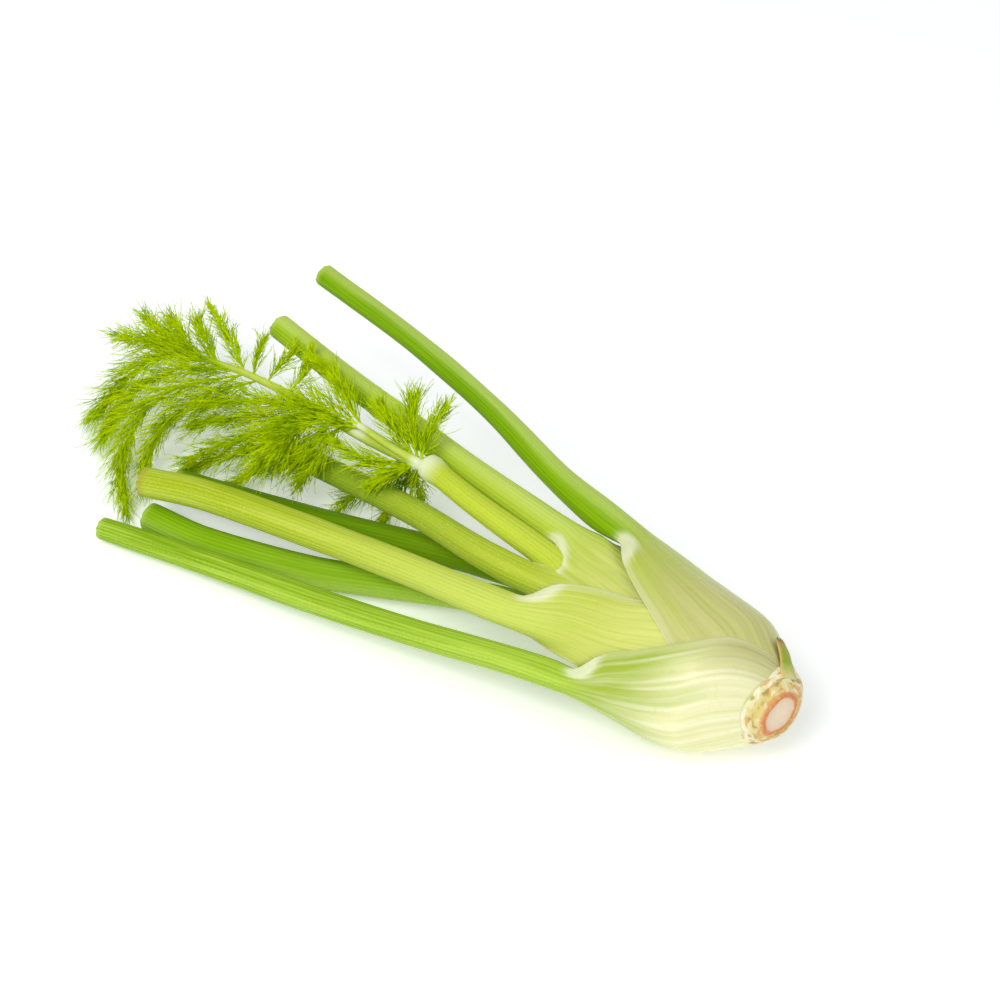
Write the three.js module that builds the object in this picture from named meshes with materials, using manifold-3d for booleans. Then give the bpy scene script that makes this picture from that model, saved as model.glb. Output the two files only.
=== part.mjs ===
// A fennel bulb with its cut stalks and one feathery frond, lying on its side. Millimetres, +Z up.
// The origin is the middle of the flat spot that the bulb rests on. The plant's length runs along -X:
// s is the distance behind the leaves' bases; the cut root end stands out in front of them, facing +X.
import * as THREE from 'three';
import { mergeVertices } from 'three/addons/utils/BufferGeometryUtils.js';
import Module from 'manifold-3d';

const wasm = await Module();
wasm.setup();

const BASE_X = 52; // where the leaves' bases start, ahead of the resting spot
const GAP = 0.3; // clearance between pieces that touch
const LAYER_GAP = 1; // space between two sheaths
const EDGE_THICKNESS = 0.9; // a sheath's thin free margin
const FULL_WIDTH = 38; // the bulb's half width where its sheaths have their full thickness
const WRAP = 130; // degrees round the stalk that each half of a leaf's outer face takes
const LEAN = { end: 34, length: 30.6, power: 1.3 }; // the first sections lean with the root end, less and less
// How a sheath gathers into its stalk: the middle of the leaf starts this far before the neck, its margins later,
// and all of it ends this far after the neck.
const GATHER = { early: 44, least: 6, heartEarly: 30, after: 8, closedSide: 0.35 };
const RIB = { crest: 1.02, valley: 0.965 }; // a stalk's ribs, as shares of its radius
const COVER = { early: 4, after: 24 }; // where, round its neck, a leaf stops lying over the ones inside it
const MEAN_RADIUS = 34; // of the bulb, which turns a clearance into an angle
const SLOPE_STEP = 2; // distance to each side over which a stalk's direction is taken

// Spacing of a loft's sections, and where each stretch of them starts and ends. The shoulder and the sheath are
// counted from the leaves' bases, and the rest from the neck.
const SECTIONS = {
  shoulder: { end: 22, every: 3.6 },
  sheath: { start: 24, endBeforeNeck: 24, every: 9.5 },
  neck: { start: -20, end: 14, every: 5.5 },
  stalk: { start: 20, about: 26 },
};

// The bulb's outer form at s: the section's half width and half height, its middle's place across and height,
// and its roll.
const BODY = {
  width: [
    [3.4, 15.4], [6, 18.2], [10, 22], [14, 25], [20, 30.2], [26, 34], [42, 36.8], [60, 38.2], [85, 39.6],
    [110, 40], [140, 38],
  ],
  height: [
    [3.4, 15.4], [6, 18], [10, 21.8], [14, 25], [20, 28.2], [26, 31.2], [42, 34], [60, 33.2], [85, 28.5],
    [110, 23], [140, 18],
  ],
  side: [
    [3.4, 1.4], [6, 1.2], [10, 1.2], [14, 1.4], [26, 2.8], [42, 3.6], [60, 5], [85, 7.4], [110, 8], [140, 6],
  ],
  middle: [
    [3.4, 35.3], [6, 35.3], [10, 35.3], [14, 35.1], [26, 33.9], [42, 32.6], [60, 32.3], [85, 33.4], [110, 34],
    [140, 33],
  ],
  roll: [[3.4, 0], [26, 4], [42, 9], [60, 14], [85, 20], [110, 22], [140, 20]],
};

// Each leaf, from the outermost in. side is where its midrib runs round the bulb, in degrees from the top
// towards +Y. reach gives how far its sheath wraps round the bulb, as [s, degrees before the midrib, degrees
// after it], and route is the stalk's centre line and size, as [s, y, z, radius]. open is the hand on which
// the sheath's free margin runs up into the stalk, and slip is how much sooner it does so than the rest.
const LEAVES = [
  {
    name: 'leaf_1_low_left', side: -92, thickness: 4.6, open: 1, slip: 14, across: 14, colour: 0x9dbb4a,
    reach: [
      [3.4, 150, 150], [12, 140, 118], [21, 132, 100], [32, 130, 86], [46, 130, 70], [57, 124, 60],
      [67, 92, 52], [77, 48, 40], [84, 26, 26], [92, 14, 14],
    ],
    route: [
      [50, -28, 28, 6.6], [96, -31.6, 24.8, 6.2], [158, -42.5, 17.4, 6], [208, -51, 12.8, 6],
      [261, -59.5, 9.2, 5.7], [316, -69.6, 5.8, 5.2],
    ],
  },
  {
    name: 'leaf_2_high_right', side: 80, thickness: 4.4, open: -1, slip: 19, across: 14, colour: 0x93b845,
    reach: [
      [3.4, 150, 150], [20, 130, 125], [45, 102, 95], [57, 88, 80], [75, 70, 60], [88, 56, 42], [98, 44, 26],
      [104, 28, 18], [112, 14, 14],
    ],
    route: [
      [50, 30, 40, 7.3], [103, 35, 50.5, 7.5], [141, 43, 52.5, 6.4], [188, 57, 57, 5.5],
      [240, 67.5, 62, 5.1], [302, 76, 66, 5.2],
    ],
  },
  {
    name: 'leaf_3_left', side: -48, thickness: 3.8, open: 1, slip: 12, across: 12, colour: 0xb4c04e,
    reach: [
      [12, 110, 120], [40, 80, 80], [60, 60, 60], [73, 38, 50], [82, 20, 48], [92, 18, 45], [103, 20, 39],
      [112, 21, 32], [117, 20, 22], [124, 17, 14],
    ],
    route: [
      [60, -15, 44, 7.4], [120, -21, 37, 7.4], [174, -24, 31, 7.1], [228, -30, 27, 7.2],
      [281, -38.5, 24, 7], [308, -48, 23.5, 6.8],
    ],
  },
  {
    name: 'leaf_4_under_left', side: -140, thickness: 2.8, open: 0, slip: 0, across: 10, colour: 0x7fa83a,
    reach: [[18, 80, 80], [60, 60, 46], [80, 50, 28], [92, 40, 18], [116, 16, 16]],
    route: [
      [60, -8, 22, 6.2], [112, -4, 23, 6.4], [134, -5.5, 19.5, 6.6], [160, -11.5, 14, 6.8],
      [190, -22, 10, 7], [222, -35, 8.2, 7.1], [273, -49, 7.2, 7], [303, -52, 7, 6.7],
    ],
  },
  {
    name: 'leaf_5_under_right', side: 150, thickness: 2.8, open: 0, slip: 0, across: 10, colour: 0x78a238,
    reach: [[20, 80, 80], [60, 60, 60], [96, 40, 40], [116, 16, 16]],
    route: [
      [60, 10, 20, 6.4], [116, 14, 20, 6.4], [161, 10, 15, 6.4], [193, 3, 12, 6.3],
      [243, -10, 8.4, 6.2], [296, -23, 6.3, 6], [309, -26, 6.2, 6],
    ],
  },
  {
    name: 'leaf_6_right', side: 56, thickness: 2.8, open: -1, slip: 9, across: 12, colour: 0xa6bf4c,
    reach: [
      [22, 100, 100], [60, 84, 70], [90, 68, 50], [108, 62, 36], [116, 56, 26], [121, 36, 18], [128, 16, 16],
    ],
    route: [
      [70, 12, 46, 7.4], [122, 21.5, 45, 7.4], [181, 29, 46, 6.7], [219, 34, 48, 6.2],
      [261, 39.5, 50, 5.9], [306, 47, 52, 5.9],
    ],
  },
  {
    name: 'leaf_7_left', side: -14, thickness: 2.8, open: 1, slip: 5, across: 10, colour: 0xaac24a,
    reach: [[24, 80, 80], [60, 60, 60], [100, 40, 40], [116, 22, 26], [126, 16, 16]],
    route: [
      [80, -2, 42, 6.8], [127, -3.6, 40, 6.8], [151, -1.6, 37, 6.4], [193, 4.2, 32, 6.1],
      [248, 6.3, 26, 5.7], [282, 8.6, 22, 5.5],
    ],
  },
  {
    name: 'leaf_8_heart', side: 10, thickness: 0, solid: true, open: 0, slip: 0, across: 8, colour: 0xc2cc3e,
    reach: [[26, 180, 180], [112, 180, 180]],
    route: [[80, 4, 38, 6], [108, 7, 43, 6], [133, 9, 46, 5.8], [163, 12, 48, 5.4], [194, 17, 50, 5]],
  },
];

// The torn leaf base on the shoulder, as stations of
// [s, degrees from the top towards +Y, half its width in degrees, how ragged its edge is].
const STUB = {
  thickness: 1.6, across: 4,
  stations: [[3.6, 37, 14, 0], [7.4, 43, 10.5, 0], [11, 47, 9.5, 0], [15, 49.5, 7.5, 1.1]],
};

// The frond's ribs and plumes, each along a path of [s, y, z] points. A needle's slant and size each have a
// least share and a random share to add, and both fall off towards the plume's tip.
const FROND = {
  seed: 11, step: 4.4, twist: 0.35, core: [0.9, 0.6], lowest: 1.5, ribSides: 6, coreSides: 4,
  bare: 4, // one facet in this many carries no needle
  slant: { full: 0.66, least: 0.92, spread: 0.16, fallOff: 0.4 },
  size: { least: 0.65, spread: 0.5, fallOff: 0.4, last: 0.7 },
  aim: 0.6, // how far along its step of the core a needle points out from
  ribs: [
    {
      path: [
        [195.2, 17, 50], [200, 15, 50.5], [229, 14, 50], [269, 17, 48], [304, 19, 44], [333, 20, 38],
        [362, 25, 31],
      ],
      radius: [3.4, 0.8],
    },
    { path: [[197, 15, 51], [213, 13, 55], [231, 14, 56]], radius: [2.4, 1.5] },
  ],
  plumes: [
    { path: [[328, 20, 39], [347, 19, 37], [362, 17, 34], [377, 15, 30]], needle: 13 },
    { path: [[333, 20, 38], [347, 23, 40], [360, 30, 38]], needle: 12 },
    { path: [[322, 20, 40], [333, 25, 43], [343, 31, 43]], needle: 11 },
    { path: [[339, 21, 37], [355, 21, 36], [374, 28, 33]], needle: 12 },
    { path: [[315, 19, 42], [344, 17, 36], [361, 11, 26], [366, -3, 18], [368, -12, 13]], needle: 14 },
    { path: [[309, 19, 43], [334, 11, 37], [350, 1, 27], [356, -11, 17], [357, -20, 11]], needle: 14 },
    {
      path: [[303, 19, 44], [325, 3, 37], [338, -10, 28], [340, -24, 18], [334, -37, 12], [323, -48, 8]],
      needle: 15,
    },
    { path: [[295, 18, 45], [313, -1, 38], [323, -12, 28], [326, -23, 18], [322, -33, 11]], needle: 14 },
    { path: [[304, 19, 44], [317, 26, 48], [331, 34, 48], [343, 41, 47]], needle: 8 },
    { path: [[298, 18, 45], [300, 23, 50], [304, 32, 52]], needle: 12 },
    { path: [[290, 18, 46], [289, 24, 50], [288, 32, 53]], needle: 13 },
    { path: [[276, 17, 47], [275, 26, 53], [276, 33, 59]], needle: 12 },
    { path: [[229, 14, 56], [238, 17, 62], [251, 23, 64], [260, 26, 64]], needle: 12 },
    { path: [[231, 14, 56], [253, 15, 54], [273, 11, 48], [294, 6, 42], [308, -1, 37]], needle: 15 },
    {
      path: [[230, 14, 55], [245, 10, 52], [259, 9, 48], [281, 4, 40], [299, -2, 33], [309, -6, 28]],
      needle: 15,
    },
    { path: [[259, 16, 48], [265, 6, 44], [279, 1, 34], [295, -7, 24], [306, -16, 16]], needle: 14 },
    { path: [[263, 16, 48], [266, 0, 40], [280, -4, 27], [295, -9, 17], [305, -14, 10]], needle: 13 },
    { path: [[248, 15, 49], [250, 6, 43], [255, -1, 34], [274, -2, 18], [283, -9, 10]], needle: 13 },
    { path: [[242, 15, 49], [244, 3, 42], [252, -2, 24]], needle: 12 },
    { path: [[255, 16, 49], [257, -1, 46], [261, -9, 40], [269, -11, 30]], needle: 13 },
    { path: [[198, 14, 50], [209, 7, 50], [223, 4, 49], [239, 6, 47]], needle: 11 },
    { path: [[199, 14, 50], [205, 6, 47], [212, 3, 40]], needle: 9 },
    { path: [[199, 15, 52], [210, 16, 60], [218, 19, 64]], needle: 12 },
    { path: [[198, 15, 52], [205, 20, 63], [210, 27, 67]], needle: 12 },
    { path: [[197, 15, 52], [197, 21, 62], [198, 30, 66]], needle: 11 },
    { path: [[198, 15, 49], [200, 16, 40], [200, 18, 28]], needle: 10 },
    { path: [[203, 15, 48], [212, 16, 36], [224, 14, 22], [234, 10, 12], [236, 3, 8]], needle: 12 },
    { path: [[202, 15, 48], [208, 18, 32], [215, 17, 16], [216, 12, 9], [214, 6, 7]], needle: 12 },
  ],
};

// The root end: the middle of its cut face, how far it faces towards -Y and up, in degrees, its outline as
// [distance behind the cut face, radius], the waves round it, and the room for it between the leaves.
const PLATE = {
  sides: 24, face: [52.5, 0, 36.3], yaw: 20, pitch: 14,
  waves: [{ lobes: 2, size: 0.02, phase: 0 }, { lobes: 5, size: 0.018, phase: 1 }],
  room: { radius: 10.9, depth: 15 },
  profile: [[0, 0], [0, 9.7], [0.7, 11.2], [2.3, 14.2], [3.2, 14.8], [3.9, 14], [4, 10.4], [14, 9], [14, 0]],
};

// The value at s of a smooth curve through keys, whose column holds the values.
function at(keys, s, column = 1) {
  const last = keys.length - 1;
  let k = 0;
  while (k < last - 1 && s >= keys[k + 1][0]) k += 1;
  const slope = (i) => {
    const before = keys[Math.max(0, i - 1)];
    const after = keys[Math.min(last, i + 1)];
    return (after[column] - before[column]) / (after[0] - before[0]);
  };
  const span = keys[k + 1][0] - keys[k][0];
  const t = (s - keys[k][0]) / span;
  if (t < 0) return keys[0][column] + slope(0) * (s - keys[0][0]);
  if (t > 1) return keys[last][column] + slope(last) * (s - keys[last][0]);
  const [from, to] = [keys[k][column], keys[k + 1][column]];
  const bend = (1 - t) * slope(k) - t * slope(k + 1);
  const rise = to - from;
  return from + rise * t * t * (3 - 2 * t) + t * (1 - t) * span * bend;
}

const degrees = Math.PI / 180;
const smooth = (from, to, v) => THREE.MathUtils.smoothstep(v, from, to);
const neckOf = (leaf) => leaf.reach.at(-1)[0];
const bodyScale = (s) => Math.min(1, at(BODY.width, s) / FULL_WIDTH);

// How far a leaf's sheath reaches from its midrib at s, in radians, before it or after it.
function reach(leaf, s, sign) {
  const column = sign < 0 ? 1 : 2;
  const within = THREE.MathUtils.clamp(s, leaf.reach[0][0], neckOf(leaf));
  return at(leaf.reach, within, column) * degrees;
}

// A sheath's thickness at u, which runs from -1 to 1 between its margins.
function thickness(leaf, s, u) {
  return (EDGE_THICKNESS + (leaf.thickness - EDGE_THICKNESS) * Math.max(0, 1 - u * u)) * bodyScale(s);
}

// How deep a leaf's outer face lies under the bulb's outer form: every leaf outside it lies over it.
function depth(index, s, angle) {
  let sum = 0;
  for (const outer of LEAVES.slice(0, index)) {
    const turn = angle - outer.side * degrees;
    const apart = Math.atan2(Math.sin(turn), Math.cos(turn));
    const here = 1 - smooth(neckOf(outer) - COVER.early, neckOf(outer) + COVER.after, s);
    sum += (thickness(outer, s, apart / reach(outer, s, apart)) + LAYER_GAP * bodyScale(s)) * here;
  }
  return sum;
}

// A point of the bulb's section at s, at an angle from the top, below its outer form. The first sections lean
// with the root end.
function bodyPoint(s, angle, below) {
  const roll = at(BODY.roll, s) * degrees;
  const across = (at(BODY.width, s) - below) * Math.sin(angle);
  const up = (at(BODY.height, s) - below) * Math.cos(angle);
  const dy = across * Math.cos(roll) - up * Math.sin(roll);
  const dz = across * Math.sin(roll) + up * Math.cos(roll);
  const lean = THREE.MathUtils.clamp((LEAN.end - s) / LEAN.length, 0, 1) ** LEAN.power;
  const ahead = lean * (dy * Math.tan(PLATE.yaw * degrees) - dz * Math.tan(PLATE.pitch * degrees));
  return new THREE.Vector3(BASE_X - s + ahead, at(BODY.side, s) + dy, at(BODY.middle, s) + dz);
}

function routePoint(leaf, s) {
  return new THREE.Vector3(BASE_X - s, at(leaf.route, s, 1), at(leaf.route, s, 2));
}

// The stations of a leaf's loft: close together where the sheath starts and where it gathers into the stalk.
function stationsOf(leaf) {
  const start = leaf.reach[0][0];
  const neck = neckOf(leaf);
  const end = leaf.route.at(-1)[0];
  const { shoulder, sheath, stalk } = SECTIONS;
  const stations = [];
  const fill = (from, to, every) => {
    for (let s = from; s < to; s += every) stations.push(s);
  };
  fill(start, shoulder.end, shoulder.every);
  fill(Math.max(sheath.start, start), neck - sheath.endBeforeNeck, sheath.every);
  fill(neck + SECTIONS.neck.start, neck + SECTIONS.neck.end, SECTIONS.neck.every);
  const length = end - neck - stalk.start;
  const spans = Math.round(length / stalk.about);
  for (let k = 0; k <= spans; k += 1) stations.push(neck + stalk.start + (length * k) / spans);
  return stations;
}

// A leaf as one closed loft: a crescent of the bulb's section that gathers into a ribbed round stalk.
function leafLoft(leaf, grow) {
  const index = LEAVES.indexOf(leaf);
  const neck = neckOf(leaf);
  const heart = leaf.solid === true;
  const sides = leaf.across * 2;
  const rings = stationsOf(leaf).map((s) => {
    const middle = routePoint(leaf, s);
    const along = routePoint(leaf, s + SLOPE_STEP).sub(routePoint(leaf, s - SLOPE_STEP)).normalize();
    const axis = bodyPoint(s, 0, 0).add(bodyPoint(s, Math.PI, 0)).multiplyScalar(0.5);
    const outward = bodyPoint(Math.min(s, neck), leaf.side * degrees, 0).sub(axis).setX(0);
    outward.addScaledVector(along, -outward.dot(along)).normalize();
    const sideways = new THREE.Vector3().crossVectors(along, outward);
    const radius = at(leaf.route, Math.max(s, leaf.route[0][0]), 3) + grow;
    const ring = [];
    for (let k = 0; k < sides; k += 1) {
      const onOuter = k < leaf.across;
      const step = (k % leaf.across) / leaf.across;
      let u = onOuter ? step * 2 - 1 : 1 - step * 2;
      if (heart) u = (k / sides) * 2 - 1;
      const angle = leaf.side * degrees + u * (reach(leaf, s, u) + (heart ? 0 : grow / MEAN_RADIUS));
      const face = depth(index, s, angle) - grow;
      const below = onOuter || heart ? face : face + thickness(leaf, s, u) + 2 * grow;
      const sheath = bodyPoint(s, angle, below);
      let turn = u * WRAP * degrees;
      if (!onOuter) turn = Math.PI - u * (180 - WRAP) * degrees;
      if (heart) turn = u * Math.PI;
      const rib = radius * (k % 2 ? RIB.valley : RIB.crest);
      const stalk = middle.clone().addScaledVector(outward, rib * Math.cos(turn));
      stalk.addScaledVector(sideways, rib * Math.sin(turn));
      const free = u * leaf.open > 0;
      const late = (free ? 1 : GATHER.closedSide) * Math.abs(u);
      const early = heart ? GATHER.heartEarly : GATHER.early * (1 - late) + GATHER.least;
      const sooner = free ? leaf.slip * Math.abs(u) : 0;
      ring.push(sheath.lerp(stalk, smooth(neck - early, neck + GATHER.after, s + sooner)));
    }
    return ring;
  });
  return solidFromRings(rings);
}

// A closed solid through rings of equal count, with its two ends filled across.
function solidFromRings(rings) {
  const count = rings[0].length;
  const faces = [];
  for (let r = 0; r + 1 < rings.length; r += 1) {
    for (let k = 0; k < count; k += 1) {
      const [a, b] = [r * count + k, r * count + ((k + 1) % count)];
      faces.push([a, b, b + count], [a, b + count, a + count]);
    }
  }
  for (const ring of [0, rings.length - 1]) {
    for (let k = 0; k < count / 2; k += 1) {
      const [a, b] = [ring * count + k, ring * count + k + 1];
      const d = ring * count + ((count - k) % count);
      const c = ring * count + count - 1 - k;
      for (const f of [[a, c, b], [a, d, c]]) {
        if (new Set(f).size === 3) faces.push(ring === 0 ? f : f.reverse());
      }
    }
  }
  return solidFromFaces(rings.flat(), faces);
}

function solidFromFaces(points, faces) {
  const geometry = new THREE.BufferGeometry();
  geometry.setAttribute('position', new THREE.Float32BufferAttribute(points.flatMap((p) => p.toArray()), 3));
  geometry.setIndex(faces.flat());
  return toSolid(geometry);
}

function toSolid(geometry) {
  const bare = geometry.clone();
  bare.deleteAttribute('normal');
  bare.deleteAttribute('uv');
  const merged = mergeVertices(bare, 1e-4);
  const vertProperties = merged.attributes.position.array;
  const triVerts = new Uint32Array(merged.index.array);
  return new wasm.Manifold(new wasm.Mesh({ numProp: 3, vertProperties, triVerts }));
}

function toGeometry(solid) {
  const { vertProperties, triVerts } = solid.getMesh();
  return new THREE.BufferGeometry()
    .setAttribute('position', new THREE.BufferAttribute(vertProperties, 3))
    .setIndex(new THREE.BufferAttribute(triVerts, 1));
}

// A rod through points, whose radius goes from one end's value to the other's.
function rod(points, startRadius, endRadius, sides, steps) {
  const curve = new THREE.CatmullRomCurve3(points);
  const { normals, binormals } = curve.computeFrenetFrames(steps);
  const rings = [];
  for (let step = 0; step <= steps; step += 1) {
    const middle = curve.getPointAt(step / steps);
    const radius = THREE.MathUtils.lerp(startRadius, endRadius, step / steps);
    const ring = [];
    for (let k = 0; k < sides; k += 1) {
      const turn = (k / sides) * Math.PI * 2;
      const point = middle.clone().addScaledVector(normals[step], radius * Math.cos(turn));
      ring.push(point.addScaledVector(binormals[step], radius * Math.sin(turn)));
    }
    rings.push(ring);
  }
  return solidFromRings(rings);
}

// A point of the frond's paths.
const place = ([s, y, z]) => new THREE.Vector3(BASE_X - s, y, z);

// A solid made round the Y axis, with +Y leading back into the bulb, set in the root end's place.
function atRootEnd(shape) {
  const turned = shape.rotateZ(Math.PI / 2).rotateY(-PLATE.pitch * degrees).rotateZ(-PLATE.yaw * degrees);
  return toSolid(turned.translate(...PLATE.face));
}

// The woody root end: a low drum with a sloping rim, and a plug that the leaves grow from.
function rootPlate() {
  const lathe = new THREE.LatheGeometry(PLATE.profile.map(([d, r]) => new THREE.Vector2(r, d)), PLATE.sides);
  const positions = lathe.attributes.position;
  for (let k = 0; k < positions.count; k += 1) {
    const turn = Math.atan2(positions.getZ(k), positions.getX(k));
    const wave = PLATE.waves.reduce((sum, w) => sum + w.size * Math.sin(w.lobes * turn + w.phase), 1);
    positions.setX(k, positions.getX(k) * wave);
    positions.setZ(k, positions.getZ(k) * wave);
  }
  return atRootEnd(lathe);
}

// Room between the leaves for the root end, with its clearance.
function plateRoom() {
  const { radius, depth } = PLATE.room;
  const hole = new THREE.CylinderGeometry(radius + GAP, radius + GAP, depth, PLATE.sides * 2);
  return atRootEnd(hole.translate(0, depth / 2, 0));
}

// The torn base of a leaf that is gone: a short strip that hugs the bulb's shoulder.
function basalStub() {
  const rings = STUB.stations.map(([s, side, half, ragged]) => {
    const ring = [];
    for (let k = 0; k < 2 * STUB.across; k += 1) {
      const outer = k < STUB.across;
      const step = ((k % STUB.across) * 2) / (STUB.across - 1);
      const u = outer ? step - 1 : 1 - step;
      const above = 2 * GAP + (outer ? STUB.thickness : 0);
      const tear = ragged * (k % 2 ? 1 : -1);
      const point = bodyPoint(s, (side + u * half) * degrees, -above);
      ring.push(point.setX(bodyPoint(s + tear, side * degrees, 0).x));
    }
    return ring;
  });
  return solidFromRings(rings);
}

// The feathery blade: a broad midrib with a thin branch, and plumes of needles that slant towards their tips.
function frond() {
  const random = seededRandom(FROND.seed);
  const ribs = FROND.ribs.map(({ path, radius }) => {
    return rod(path.map(place), radius[0], radius[1], FROND.ribSides, path.length * 2);
  });
  const plumes = FROND.plumes.map(({ path, needle }) => plume(path.map(place), needle, random));
  return [...ribs, ...plumes].reduce((whole, part) => whole.add(part));
}

// A slim four-sided core, with a three-sided needle raised from half of each of its facets.
function plume(points, needle, random) {
  const sides = FROND.coreSides;
  const curve = new THREE.CatmullRomCurve3(points);
  const steps = Math.round(curve.getLength() / FROND.step);
  const { normals, binormals, tangents } = curve.computeFrenetFrames(steps);
  const centres = normals.map((_, k) => curve.getPointAt(k / steps));
  const vertices = [];
  for (let k = 0; k <= steps; k += 1) {
    const radius = THREE.MathUtils.lerp(FROND.core[0], FROND.core[1], k / steps);
    for (let side = 0; side < sides; side += 1) {
      const turn = (side / sides) * Math.PI * 2 + k * FROND.twist;
      const point = centres[k].clone().addScaledVector(normals[k], radius * Math.cos(turn));
      vertices.push(point.addScaledVector(binormals[k], radius * Math.sin(turn)));
    }
  }
  const faces = [[0, 2, 1], [0, 3, 2]];
  const raise = (corners, direction, size) => {
    const tip = corners.reduce((sum, c) => sum.add(vertices[c]), new THREE.Vector3());
    tip.divideScalar(corners.length).addScaledVector(direction, size);
    tip.z = Math.max(tip.z, FROND.lowest);
    vertices.push(tip);
    corners.forEach((c, n) => faces.push([c, corners[(n + 1) % corners.length], vertices.length - 1]));
  };
  for (let k = 0; k < steps; k += 1) {
    for (let side = 0; side < sides; side += 1) {
      const [a, b] = [k * sides + side, k * sides + ((side + 1) % sides)];
      const [c, d] = [b + sides, a + sides];
      faces.push([a, b, c]);
      if ((k + side) % FROND.bare === FROND.bare - 1 || k === 0) {
        faces.push([a, c, d]);
      } else {
        const outward = vertices[a].clone().add(vertices[c]).add(vertices[d]).divideScalar(3);
        outward.sub(centres[k].clone().lerp(centres[k + 1], FROND.aim)).normalize();
        const { full, least, spread, fallOff } = FROND.slant;
        const slant = full * (1 - fallOff * (k / steps)) * (least + spread * random());
        const direction = tangents[k].clone().multiplyScalar(Math.cos(slant));
        direction.addScaledVector(outward, Math.sin(slant));
        const share = FROND.size.least + FROND.size.spread * random();
        const size = needle * share * (1 - FROND.size.fallOff * (k / steps) ** 2);
        raise([a, c, d], direction, size);
      }
    }
  }
  raise([0, 1, 2, 3].map((side) => steps * sides + side), tangents[steps], needle * FROND.size.last);
  return solidFromFaces(vertices, faces);
}

// A linear congruential generator: the same seed always gives the same frond.
function seededRandom(seed) {
  const [multiplier, increment, modulus] = [1664525, 1013904223, 2 ** 32];
  let state = seed;
  return () => {
    state = (state * multiplier + increment) % modulus;
    return state / modulus;
  };
}

// A solid with a leaf's place in it, and the clearance round that leaf, cut away.
function clearOf(solid, leaf) {
  return solid.subtract(leafLoft(leaf, GAP)).subtract(leafLoft(leaf, 0));
}

// The largest of a solid's separate bodies: a cut can leave scraps.
function largest(solid) {
  return solid.decompose().reduce((best, piece) => (piece.volume() > best.volume() ? piece : best));
}

const FLOOR = { length: 800, width: 400, depth: 20, x: -150 }; // everything below the surface it rests on
const floor = new THREE.BoxGeometry(FLOOR.length, FLOOR.width, FLOOR.depth);
const underFloor = toSolid(floor.translate(FLOOR.x, 0, -FLOOR.depth / 2));
const rootRoom = plateRoom();

const group = new THREE.Group();
function addNode(name, solid, colour, roughness) {
  const material = new THREE.MeshStandardMaterial({ color: colour, roughness, metalness: 0 });
  const mesh = new THREE.Mesh(toGeometry(solid), material);
  mesh.name = name;
  group.add(mesh);
}

addNode('root_plate', rootPlate(), 0xd8c08a, 0.7);
addNode('basal_stub', largest(LEAVES.slice(0, 2).reduce(clearOf, basalStub())), 0xa8bf4a, 0.55);
LEAVES.forEach((leaf, index) => {
  const whole = leafLoft(leaf, 0).subtract(underFloor).subtract(rootRoom);
  addNode(leaf.name, largest(LEAVES.slice(index + 1).reduce(clearOf, whole)), leaf.colour, 0.45);
});
addNode('frond', largest(LEAVES.reduce(clearOf, frond())), 0x8fc321, 0.6);

export default group;
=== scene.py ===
import math
import random

import bmesh
import bpy
from mathutils import Matrix, Vector, noise


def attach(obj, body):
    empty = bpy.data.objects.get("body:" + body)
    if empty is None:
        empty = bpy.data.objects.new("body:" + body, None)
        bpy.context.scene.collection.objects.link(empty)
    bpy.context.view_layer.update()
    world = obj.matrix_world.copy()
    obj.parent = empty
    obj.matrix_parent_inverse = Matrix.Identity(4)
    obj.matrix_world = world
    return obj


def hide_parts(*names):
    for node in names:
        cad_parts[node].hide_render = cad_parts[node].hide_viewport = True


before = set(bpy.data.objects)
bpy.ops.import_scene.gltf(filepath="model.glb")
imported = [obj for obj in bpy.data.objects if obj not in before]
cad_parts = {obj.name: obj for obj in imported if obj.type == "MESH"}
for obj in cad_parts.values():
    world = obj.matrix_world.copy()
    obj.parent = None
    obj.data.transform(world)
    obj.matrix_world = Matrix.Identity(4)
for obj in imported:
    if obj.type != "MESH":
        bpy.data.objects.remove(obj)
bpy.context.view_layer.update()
print("frame loaded:", len(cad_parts), "solids")

mm = 0.001
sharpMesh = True

# camera, floor and lights, with places in millimetres
view = {
    "place": (334.39, -562.34, 777.82), "azimuth": 37, "elevation": 45, "lens": 85,
    "clip": (0.05, 20), "aimAt": (-110, 0, 20),
    "floorSize": 8, "floorColour": (246, 247, 250), "floorRoughness": 0.7, "floorGlow": 0.24,
    "skyColour": (250, 252, 255), "sky": 0.56,
    "key": {"from": (0, -0.6, 0.9), "distance": 1.5, "size": 0.8, "power": 11.5},
    "fill": {"from": (0.6, 0.1, 0.9), "distance": 1.8, "size": 1.6, "power": 4},
}


def linear(colour):
    # a colour as it is seen, 0 to 255, as the shader wants it
    return tuple(((c / 255 + 0.055) / 1.055) ** 2.4 if c > 10 else c / 3294.6 for c in colour) + (1,)


def addCamera():
    data = bpy.data.cameras.new("camera")
    data.lens = view["lens"]
    data.clip_start, data.clip_end = view["clip"]
    camera = bpy.data.objects.new("camera", data)
    camera.location = Vector(view["place"]) * mm
    camera.rotation_euler = (math.radians(90 - view["elevation"]), 0, math.radians(view["azimuth"]))
    bpy.context.scene.collection.objects.link(camera)
    bpy.context.scene.camera = camera


def addSoftbox(name, lamp):
    data = bpy.data.lights.new(name, "AREA")
    data.size, data.energy = lamp["size"], lamp["power"]
    box = bpy.data.objects.new(name, data)
    aim = Vector(view["aimAt"]) * mm
    box.location = aim + Vector(lamp["from"]).normalized() * lamp["distance"]
    box.rotation_euler = (box.location - aim).to_track_quat("Z", "Y").to_euler()
    bpy.context.scene.collection.objects.link(box)


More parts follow.
